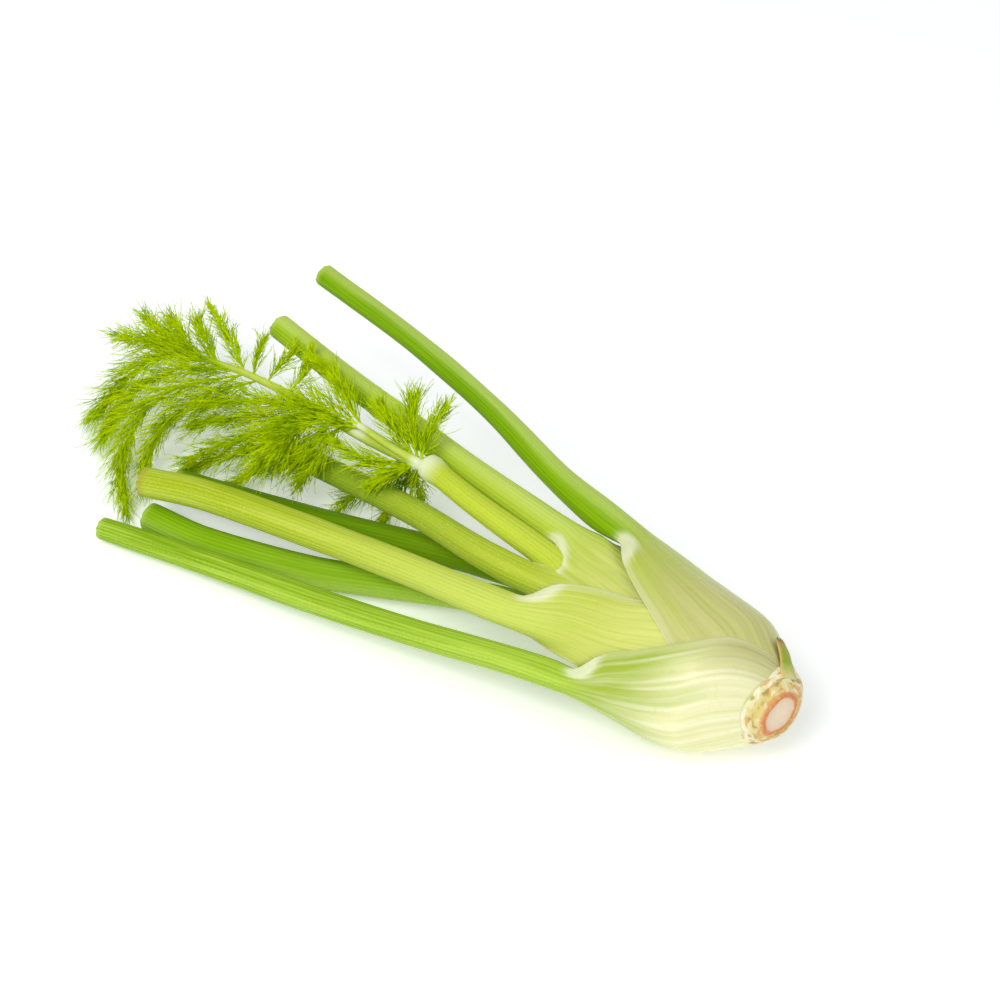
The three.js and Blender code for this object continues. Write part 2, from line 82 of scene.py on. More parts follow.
class Wire:
    # a socket that sums and products can be written with
    def __init__(self, paint, socket):
        self.paint, self.socket = paint, socket

    def __add__(self, other):
        return self.paint.maths("ADD", self, other)

    def __sub__(self, other):
        return self.paint.maths("SUBTRACT", self, other)

    def __mul__(self, other):
        return self.paint.maths("MULTIPLY", self, other)

    def __pow__(self, other):
        return self.paint.maths("POWER", self, other)

    def __rsub__(self, other):
        return self.paint.maths("SUBTRACT", other, self)

    __radd__ = __add__
    __rmul__ = __mul__


class Paint:
    # a material and the nodes that feed its shader
    def __init__(self, name, **constants):
        self.material = bpy.data.materials.new(name)
        self.material.use_nodes = True
        self.tree = self.material.node_tree
        self.shader = self.tree.nodes["Principled BSDF"]
        for socket, value in constants.items():
            self.shader.inputs[socket.replace("_", " ")].default_value = value

    def node(self, kind, settings, inputs, output=0):
        # any node: its settings first, then the values or wires of its sockets
        made = self.tree.nodes.new(kind)
        for name, value in settings.items():
            if name == "stops":
                self.setStops(made.color_ramp, value)
            else:
                setattr(made, name, value)
        for socket, value in inputs.items():
            if isinstance(value, Wire):
                self.tree.links.new(value.socket, made.inputs[socket])
            else:
                made.inputs[socket].default_value = value
        return Wire(self, made.outputs[output])

    def setStops(self, ramp, stops):
        while len(ramp.elements) < len(stops):
            ramp.elements.new(0.5)
        for element, (place, colour) in zip(ramp.elements, stops):
            element.position, element.color = place, linear(colour)

    def maths(self, operation, *values):
        return self.node("ShaderNodeMath", {"operation": operation}, dict(enumerate(values)))

    def mix(self, factor, low, high):
        return self.node("ShaderNodeMix", {"data_type": "RGBA"}, {0: factor, 6: low, 7: high}, 2)

    def over(self, skin, mask, coat):
        # a coat, (colour, strength), laid over the skin where the mask is 1
        colour, strength = coat
        return self.mix(mask * strength, skin, linear(colour))

    def between(self, value, low, high):
        # 0 below low, 1 above high and a smooth step from one to the other
        inputs = {"Value": value, "From Min": low, "From Max": high}
        return self.node("ShaderNodeMapRange", {"interpolation_type": "SMOOTHSTEP"}, inputs)

    def place(self):
        return self.node("ShaderNodeTexCoord", {}, {}, "Object")

    def attribute(self, name):
        return self.node("ShaderNodeAttribute", {"attribute_name": name}, {}, "Fac")

    def grain(self, where, scale, detail=3, rough=0.55):
        inputs = {"Vector": where, "Scale": scale, "Detail": detail, "Roughness": rough}
        return self.node("ShaderNodeTexNoise", {}, inputs)

    def feed(self, socket, wire):
        self.tree.links.new(wire.socket, self.shader.inputs[socket])

    def bump(self, height, strength, distance):
        inputs = {"Height": height, "Strength": strength, "Distance": distance}
        self.feed("Normal", self.node("ShaderNodeBump", {}, inputs))


def finished(bm, name):
    mesh = bpy.data.meshes.new(name)
    bm.to_mesh(mesh)
    bm.free()
    piece = bpy.data.objects.new(name, mesh)
    bpy.context.scene.collection.objects.link(piece)
    for face in mesh.polygons:
        face.use_smooth = True
    return piece


def addPiece(bm, name, node, material):
    # a piece of the dressed bulb, in place of one of the frame's solids
    bmesh.ops.recalc_face_normals(bm, faces=bm.faces[:])
    piece = finished(bm, name)
    piece.data.materials.append(material)
    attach(piece, "root")
    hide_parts(node)


def addFloor():
    bm = bmesh.new()
    bmesh.ops.create_grid(bm, x_segments=1, y_segments=1, size=view["floorSize"] / 2)
    floor = finished(bm, "floor")
    paint = Paint("whiteTable", Roughness=view["floorRoughness"])
    paint.shader.inputs["Base Color"].default_value = linear(view["floorColour"])
    paint.shader.inputs["Emission Color"].default_value = (1, 1, 1, 1)
    paint.shader.inputs["Emission Strength"].default_value = view["floorGlow"]
    floor.data.materials.append(paint.material)


def addWorld():
    world = bpy.data.worlds.new("studio")
    world.use_nodes = True
    background = world.node_tree.nodes["Background"]
    background.inputs["Color"].default_value = linear(view["skyColour"])
    background.inputs["Strength"].default_value = view["sky"]
    bpy.context.scene.world = world
    bpy.context.scene.view_settings.view_transform = "Standard"


addCamera()
addSoftbox("keyLight", view["key"])
addSoftbox("fillLight", view["fill"])
addFloor()
addWorld()
print("camera, floor and lights are in")

# the bulb's form in millimetres, keyed by s, which runs back from the cut root end
bulb = {
    "baseX": 52, "layerGap": 1, "edge": 0.9, "fullWidth": 38,
    "leanEnd": 34, "leanLength": 30.6, "leanCurve": 1.3,  # the first sections lean as the root end does
    "fadeFrom": -4, "fadeTo": 24,  # a sheath's thickness fades out round its neck
    "width": [
        (3.4, 15.4), (6, 18.2), (10, 22), (14, 25), (20, 30.2), (26, 34), (42, 36.8), (60, 38.2),
        (85, 39.6), (110, 40), (140, 38),
    ],
    "height": [
        (3.4, 15.4), (6, 18), (10, 21.8), (14, 25), (20, 28.2), (26, 31.2), (42, 34), (60, 33.2),
        (85, 28.5), (110, 23), (140, 18),
    ],
    "side": [
        (3.4, 1.4), (6, 1.2), (10, 1.2), (14, 1.4), (26, 2.8), (42, 3.6), (60, 5), (85, 7.4), (110, 8),
        (140, 6),
    ],
    "middle": [
        (3.4, 35.3), (6, 35.3), (10, 35.3), (14, 35.1), (26, 33.9), (42, 32.6), (60, 32.3), (85, 33.4),
        (110, 34), (140, 33),
    ],
    "roll": [(3.4, 0), (26, 4), (42, 9), (60, 14), (85, 20), (110, 22), (140, 20)],
}

# Each leaf, outermost first. reach holds (s, degrees of sheath before the midrib, degrees after it) and
# route the stalk's centre line, (s, y, z, radius). open is the hand with the long free margin.
# In each look, one strength sets the painted sheen: a pale wash on the stalk's outer side that stands in for
# reflected light.
leaves = [
    {
        "node": "leaf_1_low_left", "side": -92, "thickness": 4.6, "open": 1, "slip": 14, "ribs": 22,
        "reach": [
            (3.4, 150, 150), (12, 140, 118), (21, 132, 100), (32, 130, 86), (46, 130, 70), (57, 124, 60),
            (67, 92, 52), (77, 48, 40), (84, 26, 26), (92, 14, 14),
        ],
        "route": [
            (50, -28, 28, 6.6), (96, -31.6, 24.8, 6.2), (158, -42.5, 17.4, 6), (208, -51, 12.8, 6),
            (261, -59.5, 9.2, 5.7), (316, -69.6, 5.8, 5.2),
        ],
        "look": {
            "pale": (244, 240, 190), "flush": (160, 182, 44), "vein": (176, 192, 76), "stalk": (126, 168, 0),
            "stalkNear": (156, 190, 56), "stalkLight": (194, 224, 84), "flushAt": (1.8, 6.4),
            "edgeShade": 1.4, "paintedSheen": 0.04,
        },
    },
    {
        "node": "leaf_2_high_right", "side": 80, "thickness": 4.4, "open": -1, "slip": 19, "ribs": 24,
        "reach": [
            (3.4, 150, 150), (20, 130, 125), (45, 102, 95), (57, 88, 80), (75, 70, 60), (88, 56, 42),
            (98, 44, 26), (104, 28, 18), (112, 14, 14),
        ],
        "route": [
            (50, 30, 40, 7.3), (103, 35, 50.5, 7.5), (141, 43, 52.5, 6.4), (188, 57, 57, 5.5),
            (240, 67.5, 62, 5.1), (302, 76, 66, 5.2),
        ],
        "look": {
            # leaf 2's pale is darker than the other sheaths' partly as painted shade, where its sheath faces
            # up and away from the light
            "pale": (198, 196, 124), "flush": (182, 198, 78), "vein": (166, 180, 70), "stalk": (114, 164, 0),
            "stalkNear": (124, 168, 4), "stalkLight": (150, 190, 24), "flushAt": (2.8, 8.5), "paintedSheen": 0.62,
        },
    },
    {
        "node": "leaf_3_left", "side": -48, "thickness": 3.8, "open": 1, "slip": 12, "ribs": 26,
        "reach": [
            (12, 110, 120), (40, 80, 80), (60, 60, 60), (73, 38, 50), (82, 20, 48), (92, 18, 45),
            (103, 20, 39), (112, 21, 32), (117, 20, 22), (124, 17, 14),
        ],
        "route": [
            (60, -15, 44, 7.4), (120, -21, 37, 7.4), (174, -24, 31, 7.1), (228, -30, 27, 7.2),
            (281, -38.5, 24, 7), (308, -48, 23.5, 6.8),
        ],
        "look": {
            "pale": (218, 222, 124), "flush": (196, 208, 88), "vein": (172, 186, 48), "stalk": (162, 184, 0),
            "stalkNear": (206, 220, 100), "stalkLight": (206, 220, 90), "flushAt": (4, 10), "paintedSheen": 0.04,
            "tip": ((178, 156, 66), 0.35, 0.6),
        },
    },
    {
        "node": "leaf_4_under_left", "side": -140, "thickness": 2.8, "open": 0, "slip": 0, "ribs": 24,
        "reach": [(18, 80, 80), (60, 60, 46), (80, 50, 28), (92, 40, 18), (116, 16, 16)],
        "route": [
            (60, -8, 22, 6.2), (112, -4, 23, 6.4), (134, -5.5, 19.5, 6.6), (160, -11.5, 14, 6.8),
            (190, -22, 10, 7), (222, -35, 8.2, 7.1), (273, -49, 7.2, 7), (303, -52, 7, 6.7),
        ],
        "look": {
            "pale": (206, 216, 110), "flush": (180, 200, 60), "vein": (150, 170, 30), "stalk": (130, 176, 0),
            "stalkNear": (156, 194, 46), "stalkLight": (164, 202, 56), "flushAt": (5, 11), "paintedSheen": 0.35,
        },
    },
    {
        "node": "leaf_5_under_right", "side": 150, "thickness": 2.8, "open": 0, "slip": 0, "ribs": 22,
        "reach": [(20, 80, 80), (60, 60, 60), (96, 40, 40), (116, 16, 16)],
        "route": [
            (60, 10, 20, 6.4), (116, 14, 20, 6.4), (161, 10, 15, 6.4), (193, 3, 12, 6.3),
            (243, -10, 8.4, 6.2), (296, -23, 6.3, 6), (309, -26, 6.2, 6),
        ],
        "look": {
            "pale": (200, 210, 100), "flush": (160, 188, 50), "vein": (130, 160, 20), "stalk": (98, 142, 0),
            "stalkNear": (136, 172, 20), "stalkLight": (130, 168, 16), "flushAt": (5, 11),
        },
    },
    {
        "node": "leaf_6_right", "side": 56, "thickness": 2.8, "open": -1, "slip": 9, "ribs": 22,
        "reach": [
            (22, 100, 100), (60, 84, 70), (90, 68, 50), (108, 62, 36), (116, 56, 26), (121, 36, 18),
            (128, 16, 16),
        ],
        "route": [
            (70, 12, 46, 7.4), (122, 21.5, 45, 7.4), (181, 29, 46, 6.7), (219, 34, 48, 6.2),
            (261, 39.5, 50, 5.9), (306, 47, 52, 5.9),
        ],
        "look": {
            "pale": (222, 226, 132), "flush": (192, 206, 84), "vein": (168, 186, 58), "stalk": (150, 190, 0),
            "stalkNear": (190, 210, 66), "stalkLight": (186, 212, 60), "flushAt": (6.5, 11.5), "paintedSheen": 0.6,
        },
    },
    {
        "node": "leaf_7_left", "side": -14, "thickness": 2.8, "open": 1, "slip": 5, "ribs": 22,
        "reach": [(24, 80, 80), (60, 60, 60), (100, 40, 40), (116, 22, 26), (126, 16, 16)],
        "route": [
            (80, -2, 42, 6.8), (127, -3.6, 40, 6.8), (151, -1.6, 37, 6.4), (193, 4.2, 32, 6.1),
            (248, 6.3, 26, 5.7), (282, 8.6, 22, 5.5),
        ],
        "look": {
            "pale": (218, 224, 122), "flush": (194, 208, 78), "vein": (176, 190, 50), "stalk": (134, 166, 0),
            "stalkNear": (190, 206, 60), "stalkLight": (164, 188, 22), "flushAt": (8, 12.5),
        },
    },
    {
        "node": "leaf_8_heart", "side": 10, "thickness": 0, "open": 0, "slip": 0, "ribs": 20,
        "reach": [(26, 180, 180), (112, 180, 180)],
        "route": [(80, 4, 38, 6), (108, 7, 43, 6), (133, 9, 46, 5.8), (163, 12, 48, 5.4), (194, 17, 50, 5)],
        "look": {
            "pale": (220, 224, 110), "flush": (200, 214, 60), "vein": (176, 190, 30), "stalk": (178, 200, 6),
            "stalkNear": (192, 208, 66), "stalkLight": (206, 220, 56), "flushAt": (7, 13),
            "tip": ((236, 240, 202), 1.1, 0.9),
        },
    },
]

leafMesh = {
    "columns": 150 if sharpMesh else 96, "outerShare": 0.66, "spacing": 3 if sharpMesh else 5,
    "wrap": math.radians(130),  # how far round the stalk each half of the outer face goes
    "stalkRib": 0.22, "sheathRib": 0.26,  # how far the ribs stand out
    "weakRib": 0.35, "ribChange": 1.3, "ribRun": 90,  # each rib's own strength, and how slowly it changes
    "edgeFrom": 0.8, "marginDip": 1.42, "marginThickness": 0.42, "fillGap": 0.62,
    "ripple": 0.34, "rippleLean": 0.12, "wander": 0.21, "waveRun": 26,
    "auricle": (0.5, 0.9), "auricleRise": 0.9, "auricleRun": 7.5,
    # the sheath turns into stalk over this stretch round the neck, and later at its bound margin
    "turnLead": 6, "turnSpread": 44, "turnTrail": 8, "boundShare": 0.35, "heartLead": 30,
    "heartMargin": -20, "heartFlare": 1.1, "flareBack": 3, "flareRun": 4.5,
    # the cut end's rings: (share of the radius, how far ahead, how much of it is cut flesh)
    "endRings": [(0.985, 0.36, 0.1), (0.93, 0.72, 0.5), (0.82, 0.9, 0.9), (0.6, 0.72, 1), (0.3, 0.54, 1)],
    "endRagged": 0.54, "endLip": 0.6,
}
skinFacts = ("margin", "stalk", "inner", "auricle", "cut", "s", "rib")


def keyed(keys, s, column=1):
    # a smooth curve through the keys' values
    last = len(keys) - 1
    k = 0
    while k < last - 1 and s >= keys[k + 1][0]:
        k += 1

    def slope(i):
        before, after = keys[max(0, i - 1)], keys[min(last, i + 1)]
        return (after[column] - before[column]) / (after[0] - before[0])

    span = keys[k + 1][0] - keys[k][0]
    t = (s - keys[k][0]) / span
    if t < 0:
        return keys[0][column] + slope(0) * (s - keys[0][0])
    if t > 1:
        return keys[last][column] + slope(last) * (s - keys[last][0])
    start, end = keys[k][column], keys[k + 1][column]
    bend = (1 - t) * slope(k) - t * slope(k + 1)
    return start + (end - start) * t * t * (3 - 2 * t) + t * (1 - t) * span * bend


def ease(low, high, value):
    t = min(1, max(0, (value - low) / (high - low)))
    return t * t * (3 - 2 * t)


def neckOf(leaf):
    return leaf["reach"][-1][0]


def reachOf(leaf, s, hand):
    within = min(neckOf(leaf), max(leaf["reach"][0][0], s))
    return math.radians(keyed(leaf["reach"], within, 1 if hand < 0 else 2))


class Section:
    # the bulb's cross-section at s, and the sheaths that lie in it
    def __init__(self, s):
        self.s = s
        self.width, self.height = keyed(bulb["width"], s), keyed(bulb["height"], s)
        self.side, self.middle = keyed(bulb["side"], s), keyed(bulb["middle"], s)
        roll = math.radians(keyed(bulb["roll"], s))
        self.cos, self.sin = math.cos(roll), math.sin(roll)
        lean = min(1, max(0, (bulb["leanEnd"] - s) / bulb["leanLength"])) ** bulb["leanCurve"]
        self.leanY = lean * math.tan(math.radians(rootEnd["yaw"]))
        self.leanZ = lean * math.tan(math.radians(rootEnd["pitch"]))
        self.scale = min(1, self.width / bulb["fullWidth"])
        self.sheaths = []
        for leaf in leaves:
            here = 1 - ease(neckOf(leaf) + bulb["fadeFrom"], neckOf(leaf) + bulb["fadeTo"], s)
            self.sheaths.append((math.radians(leaf["side"]), reachOf(leaf, s, -1), reachOf(leaf, s, 1), here))

    def point(self, angle, below):
        across = (self.width - below) * math.sin(angle)
        up = (self.height - below) * math.cos(angle)
        dy, dz = across * self.cos - up * self.sin, across * self.sin + up * self.cos
        x = bulb["baseX"] - self.s + self.leanY * dy - self.leanZ * dz
        return Vector((x, self.side + dy, self.middle + dz))

    def thickness(self, index, u):
        full = leaves[index]["thickness"]
        return (bulb["edge"] + (full - bulb["edge"]) * max(0, 1 - u * u)) * self.scale

    def depth(self, index, angle):
        # how deep a leaf's outer face lies under the leaves that cover it
        total = 0
        for k, (side, before, after, here) in enumerate(self.sheaths[:index]):
            if here > 0:
                turn = math.remainder(angle - side, math.tau)
                u = turn / (before if turn < 0 else after)
                total += (self.thickness(k, u) + bulb["layerGap"] * self.scale) * here
        return total


def stalkAt(leaf, s):
    return Vector((bulb["baseX"] - s, keyed(leaf["route"], s, 1), keyed(leaf["route"], s, 2)))


def stationsOf(leaf):
    start, end = leaf["reach"][0][0], leaf["route"][-1][0]
    count = round((end - start) / leafMesh["spacing"])
    return [start + (end - start) * k / count for k in range(count + 1)]


def columnsOf(leaf):
    # (u, turn round the stalk, on the outer face) of each column: u runs from -1 to 1 between the margins
    total, wrap = leafMesh["columns"], leafMesh["wrap"]
    if leaf["thickness"] == 0:
        return [(2 * k / total - 1, (2 * k / total - 1) * math.pi, True) for k in range(total)]
    outer = round(total * leafMesh["outerShare"])
    places = []
    for k in range(total):
        u = 2 * k / outer - 1 if k < outer else 1 - 2 * (k - outer) / (total - outer)
        places.append((u, u * wrap if k < outer else math.pi - u * (math.pi - wrap), k < outer))
    return places


def wave(s, *rest):
    return noise.noise(Vector((s / leafMesh["waveRun"], *rest)))


def stalkRadius(leaf, s):
    radius = keyed(leaf["route"], max(s, leaf["route"][0][0]), 3)
    radius += leafMesh["wander"] * wave(s, leaves.index(leaf) * 7.3, 0)
    if leaf["thickness"] == 0:
        beyond = (s - leaf["route"][-1][0] + leafMesh["flareBack"]) / leafMesh["flareRun"]
        radius += leafMesh["heartFlare"] * math.exp(-beyond ** 2)
    return radius


def stalkShare(leaf, s, u):
    # 0 on the sheath and 1 on the stalk, which begins sooner at the free margin
    neck, free = neckOf(leaf), u * leaf["open"] > 0
    lead = leafMesh["heartLead"]
    if leaf["thickness"] > 0:
        nearEdge = abs(u) * (1 if free else leafMesh["boundShare"])
        lead = leafMesh["turnLead"] + leafMesh["turnSpread"] * (1 - nearEdge)
    sooner = leaf["slip"] * abs(u) if free else 0
    return ease(neck - lead, neck + leafMesh["turnTrail"], s + sooner)


def ribRise(leaf, s, rib, stalk):
    number = math.floor(rib % leaf["ribs"])
    own = abs(noise.noise(Vector((number * 3.7, leaves.index(leaf) * 2.3, s / leafMesh["ribRun"]))))
    ridge = abs(math.sin(math.pi * rib)) ** 0.8 - 0.6
    height = leafMesh["sheathRib"] + (leafMesh["stalkRib"] - leafMesh["sheathRib"]) * stalk
    return ridge * (leafMesh["weakRib"] + leafMesh["ribChange"] * own) * height


def leafRing(leaf, s, columns):
    # one ring of the leaf: its points, each with what the skin's paint needs to know of it
    index, neck, heart = leaves.index(leaf), neckOf(leaf), leaf["thickness"] == 0
    section, sides = Section(s), Section(min(s, neck))
    centre, radius = stalkAt(leaf, s), stalkRadius(leaf, s)
    along = (stalkAt(leaf, s + 2) - stalkAt(leaf, s - 2)).normalized()
    outward = sides.point(math.radians(leaf["side"]), 0) - (sides.point(0, 0) + sides.point(math.pi, 0)) / 2
    outward.x = 0
    outward = (outward - along * outward.dot(along)).normalized()
    sideways = along.cross(outward)
    ring = []
    for u, turn, onOuter in columns:
        spread = reachOf(leaf, s, u)
        angle = math.radians(leaf["side"]) + u * spread
        rib = turn / math.tau * leaf["ribs"]
        stalk = stalkShare(leaf, s, u)
        rise = ribRise(leaf, s, rib, stalk)
        edge = 0 if heart else ease(leafMesh["edgeFrom"], 1, abs(u))
        auricle = ease(*leafMesh["auricle"], u * leaf["open"])
        auricle *= math.exp(-((s + leaf["slip"] + 1 - neck) / leafMesh["auricleRun"]) ** 2)
        face = section.depth(index, angle) - rise
        face += leafMesh["marginDip"] * edge * section.scale
        face += leafMesh["ripple"] * (wave(s, angle * 1.6, 4) + leafMesh["rippleLean"])
        face -= leafMesh["auricleRise"] * auricle
        if not onOuter:
            full = section.thickness(index, u) + leafMesh["fillGap"] * section.scale
            face += full * (1 - edge) + leafMesh["marginThickness"] * edge
        sheath = section.point(angle, face)
        onStalk = centre + (outward * math.cos(turn) + sideways * math.sin(turn)) * (radius + rise)
        margin = leafMesh["heartMargin"] if heart else (abs(u) - 1) * spread * section.width
        ring.append((sheath.lerp(onStalk, stalk), {
            "margin": margin, "stalk": stalk, "inner": 0 if onOuter else 1, "auricle": auricle, "cut": 0,
            "s": s / 10, "rib": rib,
        }))
    return ring


def startRing(bm, count, factNames):
    # the first ring, and the layers for what the paint needs to know of each vertex
    layers = {name: bm.verts.layers.float.new(name) for name in factNames}
    bmesh.ops.create_circle(bm, segments=count, radius=1)
    return bm.verts[:], bm.edges[:], layers


def mark(vert, layers, facts):
    for name, value in facts.items():
        vert[layers[name]] = value


def extrudeRing(bm, ring, edges):
    # the next ring, its vertices in the old one's order
    grown = bmesh.ops.extrude_edge_only(bm, edges=edges)["geom"]
    fresh = {item for item in grown if isinstance(item, bmesh.types.BMVert)}
    onward = [item for item in grown if isinstance(item, bmesh.types.BMEdge)]
    onward = [edge for edge in onward if fresh.issuperset(edge.verts)]
    following = []
    for vert in ring:
        beside = (edge.other_vert(vert) for edge in vert.link_edges)
        following.append(next(other for other in beside if other in fresh))
    return following, onward


def closeStalk(bm, leaf, ring, edges, layers):
    # the cut end: a rounded, ragged lip and the paler flesh inside it
    s = leaf["route"][-1][0]
    centre = sum((v.co for v in ring), Vector()) / len(ring)
    along = (stalkAt(leaf, s) - stalkAt(leaf, s - 2)).normalized()
    rim = [(v.co.copy(), v[layers["rib"]]) for v in ring]
    for share, ahead, cut in leafMesh["endRings"]:
        ring, edges = extrudeRing(bm, ring, edges)
        for vert, (point, rib) in zip(ring, rim):
            tear = leafMesh["endRagged"] * noise.noise(Vector((rib * 0.9, leaf["side"], share)))
            vert.co = centre.lerp(point, share) + along * (ahead + tear * min(1, ahead / leafMesh["endLip"]))
            mark(vert, layers, {"stalk": 1, "cut": cut, "s": s / 10, "rib": rib})
    bmesh.ops.holes_fill(bm, edges=edges, sides=0)


def mapRibs(bm, leaf, layers):
    # a map with the rib's number across and s along; the flat ends have no ribs
    ribMap = bm.loops.layers.uv.new("ribs")
    for face in bm.faces:
        ribs = [loop.vert[layers["rib"]] for loop in face.loops]
        for loop, rib in zip(face.loops, ribs):
            past = leaf["ribs"] if rib < max(ribs) - leaf["ribs"] / 2 else 0  # across the seam
            loop[ribMap].uv = (rib + past if len(ribs) == 4 else 0, loop.vert[layers["s"]])


def buildLeaf(leaf):
    columns = columnsOf(leaf)
    bm = bmesh.new()
    ring, edges, layers = startRing(bm, len(columns), skinFacts)
    firstEdges = edges
    margins = [k for k, (u, turn, onOuter) in enumerate(columns) if abs(u) == 1 and leaf["thickness"] > 0]
    for place, s in enumerate(stationsOf(leaf)):
        if place:
            before = ring
            ring, edges = extrudeRing(bm, ring, edges)
            for k in margins:
                bm.edges.get((before[k], ring[k])).smooth = s > neckOf(leaf) - leaf["slip"] - 4
        for vert, (point, facts) in zip(ring, leafRing(leaf, s, columns)):
            point.z = max(point.z, 0)
            vert.co = point
            mark(vert, layers, facts)
    for edge in firstEdges:
        edge.smooth = False
    bmesh.ops.holes_fill(bm, edges=firstEdges, sides=0)
    closeStalk(bm, leaf, ring, edges, layers)
    mapRibs(bm, leaf, layers)
    bmesh.ops.scale(bm, vec=(mm, mm, mm), verts=bm.verts[:])
    addPiece(bm, "fine_" + leaf["node"], leaf["node"], leafPaint(leaf))


# the leaf skin's coats, each a colour and how strongly it covers
leafCoats = {
    # Some of these coats are painted light: the pale coat on the stalks' outer side is painted sheen, and the
    # darker coats between the ridges near the base and at the margins near the root are painted shade.
    "baseGrooveShade": ((204, 212, 110), 0.3), "rootMarginShade": ((190, 186, 122), 0.9), "paintedSheen": (204, 222, 118),
    "sheenFleck": ((212, 230, 118), 0.38), "band": ((230, 231, 178), 0.36), "rim": ((244, 245, 218), 0.5),
    "auricle": ((234, 238, 196), 0.85), "inside": ((206, 214, 110), 0.5), "speck": ((150, 160, 40), 0.12),
    "pith": (206, 220, 140), "pithSpots": (180, 200, 96), "pithStrength": 0.9, "plainPaintedSheen": 0.08,
    "plainTip": ((190, 212, 100), 0.3, 0.5),  # colour, length in centimetres, strength
}


